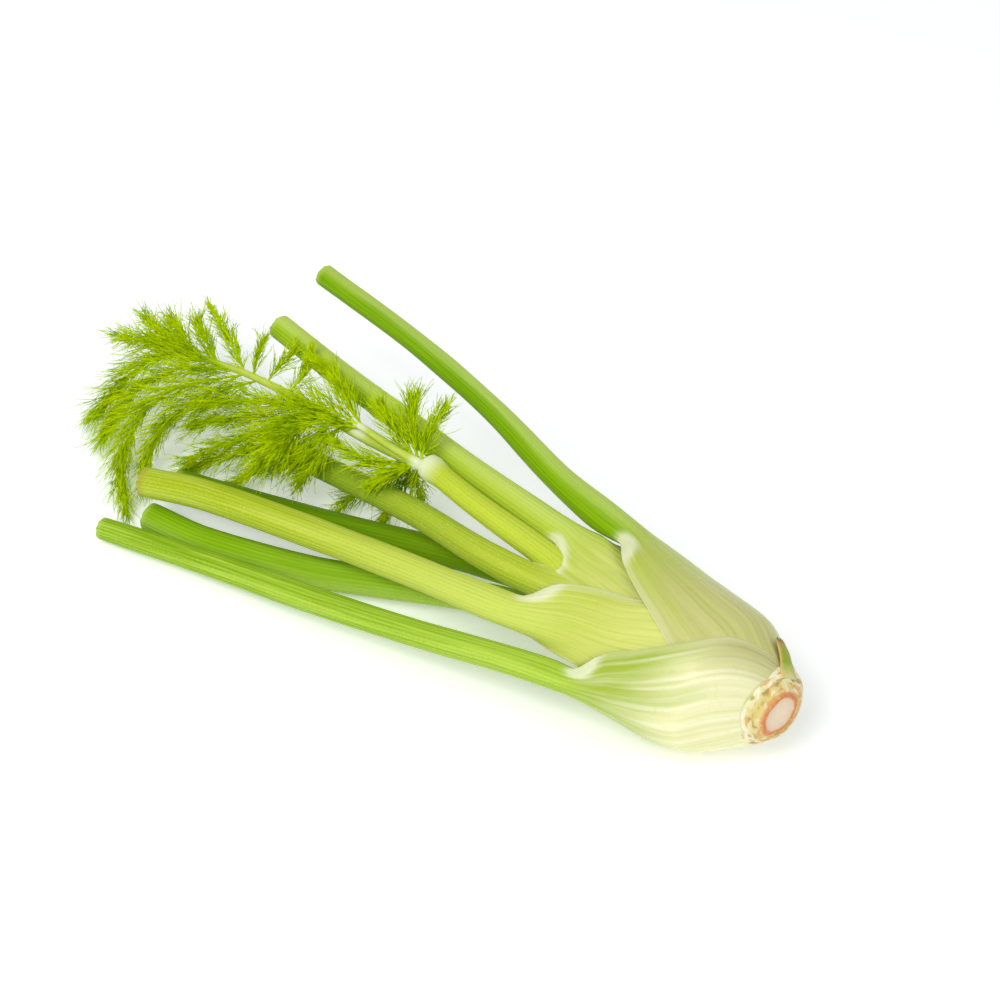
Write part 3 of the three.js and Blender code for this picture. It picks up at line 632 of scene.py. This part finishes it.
def leafPaint(leaf):
    look, coats = leaf["look"], leafCoats
    paint = Paint(
        leaf["node"] + "_skin", Subsurface_Weight=0.1, Subsurface_Scale=0.004, Specular_IOR_Level=0.16,
        Specular_Tint=(0.8, 1, 0.25, 1), Coat_Roughness=0.24, Subsurface_Radius=(1, 1, 0.3),
    )
    ribMap = paint.node("ShaderNodeUVMap", {"uv_map": "ribs"}, {})
    rib, s = (paint.node("ShaderNodeSeparateXYZ", {}, {0: ribMap}, axis) for axis in "XY")
    stalk, margin, inner, cut, auricle = map(paint.attribute, ("stalk", "margin", "inner", "cut", "auricle"))
    where = paint.place()
    cloud, speck = paint.grain(where, 30, 3), paint.grain(where, 420, 2)

    def streaks(across, along, detail):
        at = paint.node("ShaderNodeCombineXYZ", {}, {0: rib * across, 1: s * along, 2: leaf["side"]})
        return paint.grain(at, 1, detail, 0.6)

    broad, middling, finer = streaks(0.45, 0.12, 2), streaks(1.3, 0.2, 3), streaks(5, 0.3, 3)
    wavy = rib + (cloud - 0.5) * 0.22
    swing = paint.maths("ABSOLUTE", paint.maths("SINE", wavy * math.pi))
    groove, crest = (1 - swing) ** 1.5, swing ** 7
    thin = (1 - paint.maths("ABSOLUTE", paint.maths("SINE", wavy * math.tau))) ** 4
    vein = groove * paint.between(middling, 0.35, 0.65) * 0.5 + thin * paint.between(finer, 0.3, 0.6) * 0.7

    # the sheath: pale at the root, greener towards the neck, with painted highlights on the ridges near its
    # base and painted shade between them
    light = [min(255, c * 1.06 + 14) for c in look["pale"]]
    ridges = streaks(1.6, 0.08, 1)
    nearBase = (1 - paint.between(s, 3, 8.5)) * (1 - stalk)
    # painted shade: leaf 1's sheath is painted greener and darker towards its margin, where its upper side
    # faces away from the light
    edgeShadeMask = paint.between(margin, -30, -6) * look.get("edgeShade", 0)
    flush = paint.between(s + (broad - 0.5) * 6 + (middling - 0.5) * 3 + edgeShadeMask, *look["flushAt"])
    # painted shade: near the root, the sheath is painted darker and browner towards its margins, where it
    # curves away from the light
    rootMarginShadeMask = (1 - paint.between(s, 1.5, 4.5)) * paint.between(margin, -26, -6) * (1 - inner)
    sheath = paint.mix(flush, linear(look["pale"]), linear(look["flush"]))
    sheath = paint.over(sheath, paint.between(middling, 0.4, 0.75), (light, 0.3))
    # near the base: painted shade in the grooves between the ridges, then a painted highlight on their crests
    sheath = paint.over(sheath, (1 - paint.between(ridges, 0.36, 0.56)) * nearBase, coats["baseGrooveShade"])
    sheath = paint.over(sheath, paint.between(ridges, 0.46, 0.74) * nearBase, (light, 0.45))
    sheath = paint.over(sheath, rootMarginShadeMask, coats["rootMarginShade"])
    sheath = paint.mix(vein * (0.44 - nearBase * 0.24), sheath, linear(look["vein"]))

    # the stalk: ribs and grooves, with a painted sheen and pale flecks on its outer side
    neck = neckOf(leaf) / 10
    nearNeck = 1 - paint.between(s + (broad - 0.5) * 2, neck, neck + 13)
    # the stalk's outer side, away from the bunch, where the painted sheen lies
    sheenSide = paint.maths("COSINE", rib * (math.tau / leaf["ribs"])) + (middling - 0.5) * 0.7
    sheenSide = paint.between(sheenSide, -0.3, 0.7)
    green = paint.mix(nearNeck, linear(look["stalk"]), linear(look["stalkNear"]))
    green = paint.over(green, paint.between(broad, 0.4, 0.7), (look["stalkLight"], 0.6))
    green = paint.over(green, vein, ([c * 0.7 for c in look["stalk"]], 0.42))
    green = paint.over(green, paint.between(finer, 0.48, 0.68), (look["stalkLight"], 0.42))
    green = paint.over(green, crest * paint.between(middling, 0.3, 0.6), (look["stalkLight"], 0.5))
    # painted sheen: a pale wash in place of the white surroundings' reflection on the outer side, its
    # strength set leaf by leaf
    green = paint.over(green, sheenSide, (coats["paintedSheen"], look.get("paintedSheen", coats["plainPaintedSheen"])))
    # pale flecks, kept to the side with the painted sheen: partly the stalk's own mottling, partly painted
    # sheen
    green = paint.over(green, paint.between(streaks(3, 8, 1), 0.56, 0.7) * sheenSide, coats["sheenFleck"])

    # margins, auricles, the inner face and the cut end
    band = paint.between(margin + (middling - 0.5) * 1.5, -4.6, -2.4) * (1 - stalk) * (1 - inner)
    pith = paint.mix(paint.between(speck, 0.4, 0.6), linear(coats["pith"]), linear(coats["pithSpots"]))
    tipColour, tipLength, tipStrength = look.get("tip", coats["plainTip"])
    end = leaf["route"][-1][0] / 10
    tip = paint.between(s + (finer - 0.5) * 0.5, end - tipLength, end)
    skin = paint.mix(paint.between(stalk, 0.1, 1), sheath, green)
    skin = paint.over(skin, band, coats["band"])
    skin = paint.over(skin, paint.between(margin, -0.5, -0.2) * (1 - stalk), coats["rim"])
    skin = paint.over(skin, paint.between(auricle + (middling - 0.5) * 0.4, 0.1, 0.65), coats["auricle"])
    skin = paint.over(skin, inner * (1 - stalk), coats["inside"])
    skin = paint.mix(cut * coats["pithStrength"], skin, pith)
    skin = paint.over(skin, tip, (tipColour, tipStrength))
    skin = paint.over(skin, paint.between(speck, 0.55, 0.8), coats["speck"])
    paint.feed("Base Color", skin)
    paint.feed("Roughness", 0.42 + cloud * 0.12 + vein * 0.06 + cut * 0.2)
    paint.feed("Coat Weight", (1 - stalk) * 0.4)
    paint.bump(ridges * nearBase * 1.5 + finer * 0.12 + speck * 0.04 - vein * 0.1, 0.8, mm)
    return paint.material


rootEnd = {
    "face": (52.5, 0, 36.3), "yaw": 20, "pitch": 14, "segments": 168 if sharpMesh else 72,
    # (distance behind the cut face, radius), from the middle of the pith round to the back
    "profile": [
        (0.35, 0.8), (0.35, 2.4), (0.3, 4), (0.22, 5.6), (0.1, 6.8), (-0.05, 7.5), (-0.2, 8.1), (-0.2, 8.6),
        (-0.05, 9.1), (0.2, 9.7), (0.5, 10.4), (0.8, 11.1), (1.15, 11.8), (1.5, 12.5), (1.85, 13.2),
        (2.2, 13.7), (2.6, 14.3), (3.0, 14.7), (3.5, 15), (4.1, 15.6), (4.8, 16.4), (5.8, 17.2), (7.4, 17.8),
        (9, 17.6), (9.6, 10.4), (15, 9),
    ],
    "wallFrom": (9.2, 12), "wallTo": (4.2, 6.6),  # the knobbly wall, by radius and by distance
    "rough": 0.8, "grit": 0.3, "lobes": 0.16, "lobeCount": 11, "pits": 0.16, "dents": 0.25, "scars": 0.5,
    "slope": 0.17, "slopeTo": (-0.55, 0.83), "shift": 1.5,  # the cut leans out here, and the pith sits off it
    "arcs": 3.6, "arcWidth": 1.1,
    "paintWidth": 16, "back": 9.3,  # the rings of colour span this radius, and end behind this distance
    # from the pith through the rust-coloured ring to the pale wall
    "rings": [
        (0, (242, 222, 188)), (0.32, (236, 214, 184)), (0.46, (234, 202, 166)), (0.5, (222, 152, 104)),
        (0.545, (210, 128, 66)), (0.61, (218, 150, 84)), (0.67, (234, 206, 144)), (0.76, (228, 210, 132)),
        (0.9, (238, 228, 178)), (1, (240, 236, 190)),
    ],
    "moss": ((206, 200, 96), 0.5), "rust": ((218, 156, 84), 0.7), "knob": ((248, 242, 218), 0.7),
    "scar": ((166, 146, 62), 0.7), "dust": ((248, 236, 210), 0.3),
}


def rootVertex(d, r, turn):
    # a point of the root end, and what its paint needs to know of it
    around = Vector((math.cos(turn), math.sin(turn), 0))
    toY, toZ = rootEnd["slopeTo"]
    toSlope = around.x * toY + around.y * toZ
    inner = 1 - ease(9, 13.5, r)
    wall = ease(*rootEnd["wallFrom"], r) * (1 - ease(*rootEnd["wallTo"], d))
    lumps = noise.noise(around * 5.5 + Vector((0, 0, d * 1.1)))
    grit = noise.noise(around * 16 + Vector((0, 0, d * 2.2 + 5)))
    pits = noise.noise(Vector((r * around.x, r * around.y, 3)) * 0.55) + 0.6 * noise.noise(around * r * 1.7)
    lobe = math.sin(turn * rootEnd["lobeCount"] + 5 * noise.noise(around * 2.3) + d * 1.4)
    arc = Vector((around.x * rootEnd["arcs"], around.y * rootEnd["arcs"], r * rootEnd["arcWidth"] + d * 0.5))
    groove = noise.noise(arc)

    sunk = rootEnd["pits"] * pits * (1 - wall) + (rootEnd["dents"] * lumps - rootEnd["scars"] * groove) * wall
    sunk -= rootEnd["slope"] * toSlope * r * inner
    outward = rootEnd["rough"] * lumps + rootEnd["lobes"] * lobe + rootEnd["grit"] * grit
    uneven = 1 + 0.02 * math.sin(2 * turn) + 0.018 * math.sin(5 * turn + 1)
    out = r * uneven + wall * outward * ease(9, 13, r)
    shift = rootEnd["shift"] * inner
    local = Vector((-d - sunk, out * around.x - toY * shift, out * around.y - toZ * shift))
    tilt = Matrix.Rotation(math.radians(-rootEnd["yaw"]), 3, "Z")
    tilt = tilt @ Matrix.Rotation(math.radians(-rootEnd["pitch"]), 3, "Y")
    return Vector(rootEnd["face"]) + tilt @ local, {
        "away": min(r, rootEnd["paintWidth"]) if d < rootEnd["back"] else rootEnd["paintWidth"],
        "scar": max(0, -groove - 0.3 * lobe - 0.12) * wall,
        "knob": max(0, groove + 0.25 * lobe - 0.08) * wall,
        "rust": (noise.noise(arc * 0.8 + Vector((0, 0, 9))) + 0.35 * max(0, -toSlope)) * ease(8.6, 9.4, r),
    }


def buildRootEnd():
    bm = bmesh.new()
    count = rootEnd["segments"]
    ring, edges, layers = startRing(bm, count, ("away", "scar", "knob", "rust"))
    bmesh.ops.holes_fill(bm, edges=edges, sides=0)
    for place, (d, r) in enumerate(rootEnd["profile"]):
        if place:
            ring, edges = extrudeRing(bm, ring, edges)
        for k, vert in enumerate(ring):
            point, facts = rootVertex(d, r, k / count * math.tau)
            vert.co = point * mm
            mark(vert, layers, facts)
    bmesh.ops.holes_fill(bm, edges=edges, sides=0)
    addPiece(bm, "fine_root_plate", "root_plate", rootPaint())


def rootPaint():
    paint = Paint("woodyRootEnd", Subsurface_Weight=0.08, Subsurface_Scale=0.003, Specular_IOR_Level=0.3)
    where = paint.place()
    away, scar, knob, rust = map(paint.attribute, ("away", "scar", "knob", "rust"))
    lumps, fine, patches = paint.grain(where, 150, 4), paint.grain(where, 700, 4), paint.grain(where, 90, 3)
    edge = away + (lumps - 0.5) * 1.8 + (fine - 0.5) * 0.8
    mossy = paint.between(patches + (lumps - 0.5) * 0.4, 0.48, 0.62) * paint.between(away, 9.8, 12)
    rusty = paint.between(rust + (lumps - 0.5) * 0.5 + (fine - 0.5) * 0.3, 0.06, 0.3)
    edge = edge * (1 / rootEnd["paintWidth"])
    skin = paint.node("ShaderNodeValToRGB", {"stops": rootEnd["rings"]}, {0: edge})
    skin = paint.over(skin, mossy, rootEnd["moss"])
    skin = paint.over(skin, rusty, rootEnd["rust"])
    skin = paint.over(skin, paint.between(knob + (fine - 0.5) * 0.5, 0.1, 0.4), rootEnd["knob"])
    skin = paint.over(skin, paint.between(scar + (fine - 0.5) * 0.4, 0.22, 0.5), rootEnd["scar"])
    skin = paint.over(skin, paint.between(fine, 0.5, 0.75), rootEnd["dust"])
    paint.feed("Base Color", skin)
    paint.feed("Roughness", 0.5 + lumps * 0.25)
    paint.bump(lumps * 0.6 + fine * 0.6, 0.6, 0.5 * mm)
    return paint.material


# the torn leaf base on the shoulder
torn = {
    "thickness": 1.5, "lift": 0.5, "columns": 12, "rows": 26, "ragged": 1.5, "ridge": 0.12, "ridges": 12,
    "thinEdge": 0.55, "thinEnd": 0.6,  # how much of the thickness is gone at the sides and at the end
    # (s, degrees from the top towards +Y, half its width in degrees)
    "stations": [(1.8, 38, 15), (4, 38, 12.5), (7.4, 43, 10), (11, 47, 9), (15, 50, 7)],
    # from the foot to the browned tear
    "colours": [
        (0, (214, 206, 140)), (0.16, (186, 196, 96)), (0.36, (146, 170, 16)), (0.7, (156, 166, 24)),
        (0.86, (176, 150, 54)), (1, (104, 64, 26)),
    ],
    # the left edge is the pale, browned flap; the right edge coat is a painted highlight along that side
    "leftEdge": ((222, 186, 116), 0.8), "rightEdgeHighlight": ((196, 176, 96), 0.7),
}


def buildTornBase():
    bm = bmesh.new()
    ring, edges, layers = startRing(bm, torn["columns"] * 2, ("along", "across"))
    bmesh.ops.holes_fill(bm, edges=edges, sides=0)
    first, last = torn["stations"][0][0], torn["stations"][-1][0]
    for row in range(torn["rows"]):
        if row:
            ring, edges = extrudeRing(bm, ring, edges)
        share = row / (torn["rows"] - 1)
        s = first + (last - first) * share
        side, half = keyed(torn["stations"], s, 1), keyed(torn["stations"], s, 2)
        for k, vert in enumerate(ring):
            onOuter = k < torn["columns"]
            step = (k % torn["columns"]) / (torn["columns"] - 1)
            u = 2 * step - 1 if onOuter else 1 - 2 * step
            ragged = torn["ragged"] * noise.noise(Vector((u * 4, 0, 5))) * ease(0.6, 1, share)
            above = torn["lift"]
            if onOuter:
                above += torn["thickness"] * (1 - torn["thinEdge"] * u * u) * (1 - torn["thinEnd"] * share)
                above += torn["ridge"] * math.cos(u * torn["ridges"])
            vert.co = Section(s + ragged).point(math.radians(side + u * half), -above) * mm
            mark(vert, layers, {"along": share, "across": u})
    bmesh.ops.holes_fill(bm, edges=edges, sides=0)
    addPiece(bm, "fine_basal_stub", "basal_stub", tornPaint())


def tornPaint():
    paint = Paint("tornGreen", Subsurface_Weight=0.1, Subsurface_Scale=0.003)
    share, grain = paint.attribute("along"), paint.grain(paint.place(), 500, 3)
    side = paint.attribute("across") + (grain - 0.5) * 0.5
    skin = paint.node("ShaderNodeValToRGB", {"stops": torn["colours"]}, {0: share + (grain - 0.5) * 0.16})
    skin = paint.over(skin, 1 - paint.between(side, -0.9, -0.5), torn["leftEdge"])
    # painted highlight along the right edge
    skin = paint.over(skin, paint.between(side, 0.55, 0.85), torn["rightEdgeHighlight"])
    paint.feed("Base Color", skin)
    paint.feed("Roughness", 0.4 + grain * 0.2)
    paint.bump(grain, 0.3, 0.3 * mm)
    return paint.material


frondWork = {
    "seed": 11, "step": 2.4 if sharpMesh else 4.6,  # a group of sprays stands at each step along a plume
    "around": 3, "sprayTurn": 2.4, "spraySlant": (0.75, 1.2), "sprayLength": (0.8, 1.75), "sprayParts": 5,
    "slant": 0.5, "upright": 0.45, "shorter": 0.42,  # sprays stand closer and shorter towards the tip
    "twigs": 2 if sharpMesh else 1, "twigSlant": (0.2, 0.55), "twigLength": (0.4, 0.85), "twigParts": 3,
    "coreRadius": (0.7, 0.28), "sprayRadius": (0.25, 0.09), "twigRadius": (0.2, 0.09),
    "curl": 0.46, "follow": 0.2,  # how far each thread wanders, and turns towards its plume's own line
    "lowest": 0.6, "highest": 75.2, "offStalks": 0.9,
    "nodes": [(196, 15, 51), (231, 15, 55), (333, 20, 38)], "nodeSize": (2.5, 8),
    "nodeCoat": ((236, 240, 204), 0.9), "ribColours": ((176, 202, 40), (216, 226, 110)),
    "threadColours": ((176, 212, 0), (214, 232, 8)),
    "shade": ((140, 182, 0), 0.5), "deepShade": ((104, 146, 0), 0.55),
    "ribs": [
        {
            "path": [
                (195.2, 17, 50), (200, 15, 50.5), (229, 14, 50), (269, 17, 48), (304, 19, 44), (333, 20, 38),
                (362, 25, 31),
            ],
            "radius": (3.4, 0.8),
        },
        {"path": [(197, 15, 51), (213, 13, 55), (231, 14, 56)], "radius": (2.4, 1.5)},
    ],
    "plumes": [
        {"path": [(328, 20, 39), (347, 19, 37), (362, 17, 34), (377, 15, 30)], "needle": 13},
        {"path": [(333, 20, 38), (347, 23, 40), (360, 30, 38)], "needle": 12},
        {"path": [(322, 20, 40), (333, 25, 43), (343, 31, 43)], "needle": 11},
        {"path": [(339, 21, 37), (355, 21, 36), (374, 28, 33)], "needle": 12},
        {"path": [(315, 19, 42), (344, 17, 36), (361, 11, 26), (366, -3, 18), (368, -12, 13)], "needle": 14},
        {"path": [(309, 19, 43), (334, 11, 37), (350, 1, 27), (356, -11, 17), (357, -20, 11)], "needle": 14},
        {
            "path": [
                (303, 19, 44), (325, 3, 37), (338, -10, 28), (340, -24, 18), (334, -37, 12), (323, -48, 8),
            ],
            "needle": 15,
        },
        {
            "path": [(295, 18, 45), (313, -1, 38), (323, -12, 28), (326, -23, 18), (322, -33, 11)],
            "needle": 14,
        },
        {"path": [(304, 19, 44), (317, 26, 48), (331, 34, 48), (343, 41, 47)], "needle": 8},
        {"path": [(298, 18, 45), (300, 23, 50), (304, 32, 52)], "needle": 8},
        {"path": [(290, 18, 46), (289, 24, 50), (288, 32, 53)], "needle": 9},
        {"path": [(276, 17, 47), (275, 26, 53), (276, 33, 59)], "needle": 8},
        {"path": [(229, 14, 56), (238, 17, 62), (251, 23, 64), (260, 26, 64)], "needle": 12},
        {"path": [(231, 14, 56), (253, 15, 54), (273, 11, 48), (294, 6, 42), (308, -1, 37)], "needle": 15},
        {
            "path": [(230, 14, 55), (245, 10, 52), (259, 9, 48), (281, 4, 40), (299, -2, 33), (309, -6, 28)],
            "needle": 15,
        },
        {"path": [(259, 16, 48), (265, 6, 44), (279, 1, 34), (295, -7, 24), (306, -16, 16)], "needle": 14},
        {"path": [(263, 16, 48), (266, 0, 40), (280, -4, 27), (295, -9, 17), (305, -14, 10)], "needle": 13},
        {"path": [(248, 15, 49), (250, 6, 43), (255, -1, 34), (274, -2, 18), (283, -9, 10)], "needle": 13},
        {"path": [(242, 15, 49), (244, 3, 42), (252, -2, 24)], "needle": 12},
        {"path": [(255, 16, 49), (257, -1, 46), (261, -9, 40), (269, -11, 30)], "needle": 13},
        {"path": [(198, 14, 50), (209, 7, 50), (223, 4, 49), (239, 6, 47)], "needle": 11},
        {"path": [(199, 14, 50), (205, 6, 47), (212, 3, 40)], "needle": 9},
        {"path": [(199, 15, 52), (210, 16, 60), (218, 19, 64)], "needle": 12},
        {"path": [(198, 15, 52), (205, 20, 63), (210, 27, 67)], "needle": 12},
        {"path": [(197, 15, 52), (197, 21, 62), (198, 30, 66)], "needle": 11},
        {"path": [(198, 15, 49), (200, 16, 40), (200, 18, 28)], "needle": 10},
        {"path": [(203, 15, 48), (212, 16, 36), (224, 14, 22), (234, 10, 12), (236, 3, 8)], "needle": 12},
        {"path": [(202, 15, 48), (208, 18, 32), (215, 17, 16), (216, 12, 9), (214, 6, 7)], "needle": 12},
    ],
}


def clearOfStalks(point):
    # threads bend round the stalks that they meet, and stay off the table
    s = bulb["baseX"] - point.x
    for leaf in leaves:
        if neckOf(leaf) < s < leaf["route"][-1][0]:
            centre = stalkAt(leaf, s)
            out = point - centre
            out.x = 0
            need = keyed(leaf["route"], s, 3) + frondWork["offStalks"]
            if 0 < out.length < need:
                point = centre + out.normalized() * need
                point.x = bulb["baseX"] - s
    point.z = min(frondWork["highest"], max(frondWork["lowest"], point.z))
    return point


def alongPath(path, share):
    # a smooth line through the path's points, by share of their number
    points = [Vector((bulb["baseX"] - s, y, z)) for s, y, z in path]
    spans = len(points) - 1
    k = min(spans - 1, int(share * spans))
    t = share * spans - k
    before, start, end, after = points[max(0, k - 1)], points[k], points[k + 1], points[min(spans, k + 2)]
    bend = start * 2 + (end - before) * t
    bend += (before * 2 - start * 5 + end * 4 - after) * t * t
    bend += (start * 3 - before - end * 3 + after) * t * t * t
    return bend / 2


class Threads:
    # fine threads, gathered as the lines of one curve and then made a mesh
    def __init__(self, name, sides):
        self.data = bpy.data.curves.new(name, "CURVE")
        self.data.dimensions = "3D"
        self.data.bevel_depth = mm
        self.data.bevel_resolution = sides
        self.name = name

    def add(self, points, startRadius, endRadius):
        line = self.data.splines.new("POLY")
        line.points.add(len(points) - 1)
        for k, (knot, point) in enumerate(zip(line.points, points)):
            knot.co = (*(point * mm), 1)
            knot.radius = startRadius + (endRadius - startRadius) * k / (len(points) - 1)

    def finish(self, material):
        rough = bpy.data.objects.new(self.name + "_lines", self.data)
        bpy.context.scene.collection.objects.link(rough)
        bpy.context.view_layer.update()
        mesh = bpy.data.meshes.new_from_object(rough.evaluated_get(bpy.context.evaluated_depsgraph_get()))
        bpy.data.objects.remove(rough)
        bm = bmesh.new()
        bm.from_mesh(mesh)
        bpy.data.meshes.remove(mesh)
        bmesh.ops.holes_fill(bm, edges=[edge for edge in bm.edges if edge.is_boundary], sides=0)
        addPiece(bm, self.name, "frond", material)


def threadPath(start, direction, length, bendTo, draw, parts):
    points = [start]
    heading = direction.normalized()
    wiggle = Vector((draw.uniform(-1, 1), draw.uniform(-1, 1), draw.uniform(-1, 1))) * frondWork["curl"]
    for k in range(parts):
        heading = (heading + bendTo * frondWork["follow"] + wiggle * (k / parts)).normalized()
        points.append(clearOfStalks(points[-1] + heading * length / parts))
    return points


def aside(tangent, slant, turn):
    # a direction at an angle to the tangent, turned round it
    out = Matrix.Rotation(turn, 3, tangent) @ tangent.orthogonal().normalized()
    return tangent * math.cos(slant) + out * math.sin(slant)


def addPlume(threads, plume, draw):
    path = plume["path"]
    marks = [alongPath(path, k / 20) for k in range(21)]
    length = sum((end - start).length for start, end in zip(marks, marks[1:]))
    steps = max(4, round(length / frondWork["step"]))
    core = [clearOfStalks(alongPath(path, k / steps)) for k in range(steps + 1)]
    threads.add(core, *frondWork["coreRadius"])
    turn = draw.uniform(0, math.tau)
    for k in range(1, steps + 1):
        share = k / steps
        tangent = (core[k] - core[k - 1]).normalized()
        for _ in range(frondWork["around"]):
            turn += frondWork["sprayTurn"]
            slant = frondWork["slant"] * draw.uniform(*frondWork["spraySlant"])
            slant *= 1 - frondWork["upright"] * share
            size = plume["needle"] * draw.uniform(*frondWork["sprayLength"])
            size *= 1 - frondWork["shorter"] * share ** 2
            addSpray(threads, core[k], aside(tangent, slant, turn), size, tangent, draw)


def addSpray(threads, start, direction, size, tangent, draw):
    # a thread with pairs of finer twigs at its joints
    parts = frondWork["sprayParts"]
    spray = threadPath(start, direction, size, tangent, draw, parts)
    threads.add(spray, *frondWork["sprayRadius"])
    for joint in range(1, parts):
        onward = (spray[joint] - spray[joint - 1]).normalized()
        for _ in range(frondWork["twigs"]):
            heading = aside(onward, draw.uniform(*frondWork["twigSlant"]), draw.uniform(0, math.tau))
            length = size * draw.uniform(*frondWork["twigLength"])
            twig = threadPath(spray[joint], heading, length, onward, draw, frondWork["twigParts"])
            threads.add(twig, *frondWork["twigRadius"])


def buildFrond():
    draw = random.Random(frondWork["seed"])
    ribs = Threads("fine_frond_ribs", 4)
    for rib in frondWork["ribs"]:
        count = 40
        ribs.add([alongPath(rib["path"], k / count) for k in range(count + 1)], *rib["radius"])
    ribs.finish(ribPaint())
    plumes = [Threads("fine_frond_plumes_%d" % k, 0) for k in (1, 2, 3)]
    for number, plume in enumerate(frondWork["plumes"]):
        addPlume(plumes[number % len(plumes)], plume, draw)
    material = threadPaint()
    for threads in plumes:
        threads.finish(material)


def ribPaint():
    paint = Paint("frondRib", Subsurface_Weight=0.1, Subsurface_Scale=0.003, Specular_IOR_Level=0.2)
    where = paint.place()
    grain = paint.grain(where, 120, 3)
    skin = paint.mix(grain, *map(linear, frondWork["ribColours"]))
    near, far = (size * mm for size in frondWork["nodeSize"])
    for s, y, z in frondWork["nodes"]:
        spot = Vector((bulb["baseX"] - s, y, z)) * mm
        away = paint.node("ShaderNodeVectorMath", {"operation": "DISTANCE"}, {0: where, 1: spot}, "Value")
        skin = paint.over(skin, 1 - paint.between(away, near, far), frondWork["nodeCoat"])
    paint.feed("Base Color", skin)
    paint.feed("Roughness", 0.4 + grain * 0.15)
    return paint.material


def threadPaint():
    paint = Paint("frondThread", Specular_IOR_Level=0.01)
    where = paint.place()
    fine, cloud, patches = paint.grain(where, 400, 2), paint.grain(where, 60, 2), paint.grain(where, 150, 2)
    skin = paint.mix(paint.between(fine, 0.3, 0.7), *map(linear, frondWork["threadColours"]))
    skin = paint.over(skin, paint.between(cloud, 0.45, 0.7), frondWork["shade"])
    skin = paint.over(skin, paint.between(patches, 0.54, 0.66), frondWork["deepShade"])
    paint.feed("Base Color", skin)
    paint.feed("Roughness", 0.5 + fine * 0.2)
    return paint.material


for leaf in leaves:
    buildLeaf(leaf)
    print("leaf built:", leaf["node"])
buildRootEnd()
buildTornBase()
print("root end and torn base built")
buildFrond()
print("frond built")
